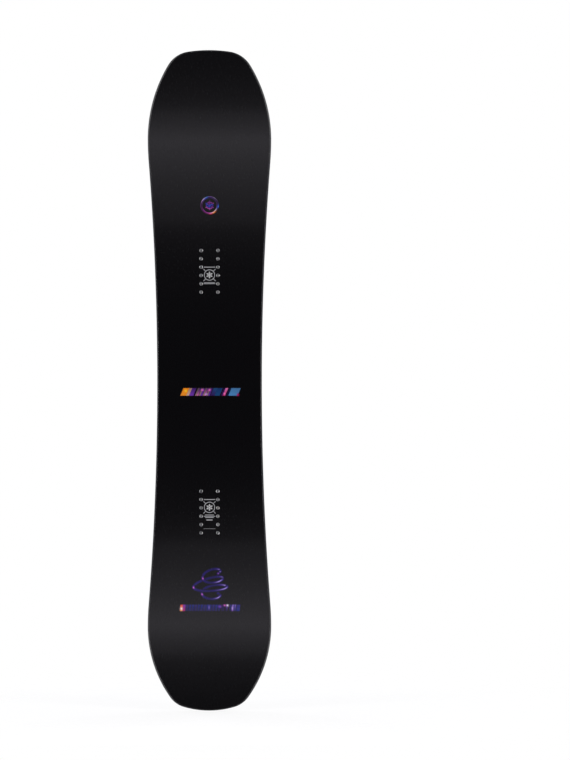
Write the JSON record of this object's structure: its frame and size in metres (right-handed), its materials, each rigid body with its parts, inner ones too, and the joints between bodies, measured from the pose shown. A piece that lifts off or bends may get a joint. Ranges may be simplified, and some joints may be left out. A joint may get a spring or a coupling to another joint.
{
  "type": "snowboard",
  "caption": "All-mountain snowboard deck with upturned nose and tail, steel edges and threaded binding inserts, standing nose up without bindings.",
  "frame": {"origin": "middle of the flat running base, at the waist", "axes": "+Z towards the nose (the board stands on its tail), +Y out of the base, -Y out of the top sheet, +X to the toe side"},
  "size_m": [0.296, 0.0606, 1.574],
  "materials": {
    "topsheet": "satin black",
    "base": "polished, stone-ground",
    "edge_steel": "ground steel",
    "sidewall": "bevelled black ABS",
    "spacer": "black ABS",
    "rubber": "damping foil",
    "glass_laminate": "resin-wetted glass weave",
    "carbon": "unidirectional carbon tape",
    "poplar": "sanded",
    "bamboo": "sanded",
    "paulownia": "sanded",
    "binding_mat": "glass mat",
    "insert_steel": "turned stainless steel",
    "insert_seal": "polyester film"
  },
  "bodies": {
    "root": {"base_sheet": "base", "toe_edge": "edge_steel", "heel_edge": "edge_steel", "toe_damping_strip": "rubber", "heel_damping_strip": "rubber", "lower_glass": "glass_laminate", "lower_carbon_tapes": "carbon", "toe_sidewall": "sidewall", "heel_sidewall": "sidewall", "nose_spacer": "spacer", "tail_spacer": "spacer", "core_poplar_strips": "poplar", "core_bamboo_strips": "bamboo", "core_paulownia_strips": "paulownia", "front_binding_mat": "binding_mat", "rear_binding_mat": "binding_mat", "front_inserts": "insert_steel", "rear_inserts": "insert_steel", "front_insert_seals": "insert_seal", "rear_insert_seals": "insert_seal", "upper_glass": "glass_laminate", "nose_carbon_tapes": "carbon", "tail_carbon_tapes": "carbon", "topsheet": "topsheet"}
  },
  "joints": []
}
